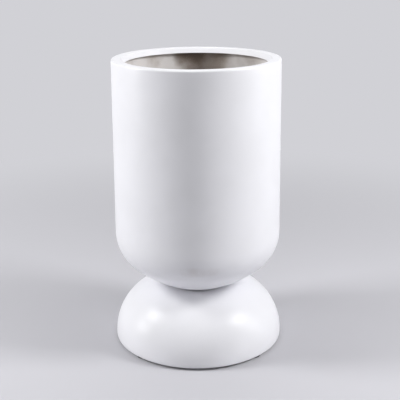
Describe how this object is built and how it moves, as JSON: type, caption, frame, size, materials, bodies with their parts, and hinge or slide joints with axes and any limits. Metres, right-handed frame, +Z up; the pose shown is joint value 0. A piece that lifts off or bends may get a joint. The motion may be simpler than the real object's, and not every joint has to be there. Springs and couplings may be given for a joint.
{
  "type": "urn planter",
  "caption": "White urn planter: tall round pot with a flat rim and rounded underside on a hollow dome base, joined at a narrow neck, with a drain plug that lifts out.",
  "frame": {"origin": "on the ground, under the middle of the base", "axes": "+Z up the planter's axis; -Y is the side that the picture looks at"},
  "size_m": [0.3756, 0.3756, 0.631],
  "materials": {
    "white_paint": "satin",
    "dark_rubber": "matte",
    "plug_rubber": "matte",
    "steel": "satin",
    "drain_plastic": "satin"
  },
  "bodies": {
    "planter": {"pot_shell": "white_paint", "base_shell": "white_paint", "joint_gasket": "dark_rubber", "seal_washers": "dark_rubber", "sleeve_seal": "dark_rubber", "foot_pads": "dark_rubber", "backing_ring": "steel", "clamp_bolts": "steel", "load_washers": "steel", "lock_nuts": "steel", "drain_sleeve": "drain_plastic", "sleeve_nut": "drain_plastic"},
    "plug": {"drain_plug": "plug_rubber"}
  },
  "joints": [
    {"name": "plug_lift", "type": "slide", "parent": "planter", "child": "plug", "axis": [0, 0, 1], "range_m": [0, 0.03]}
  ]
}
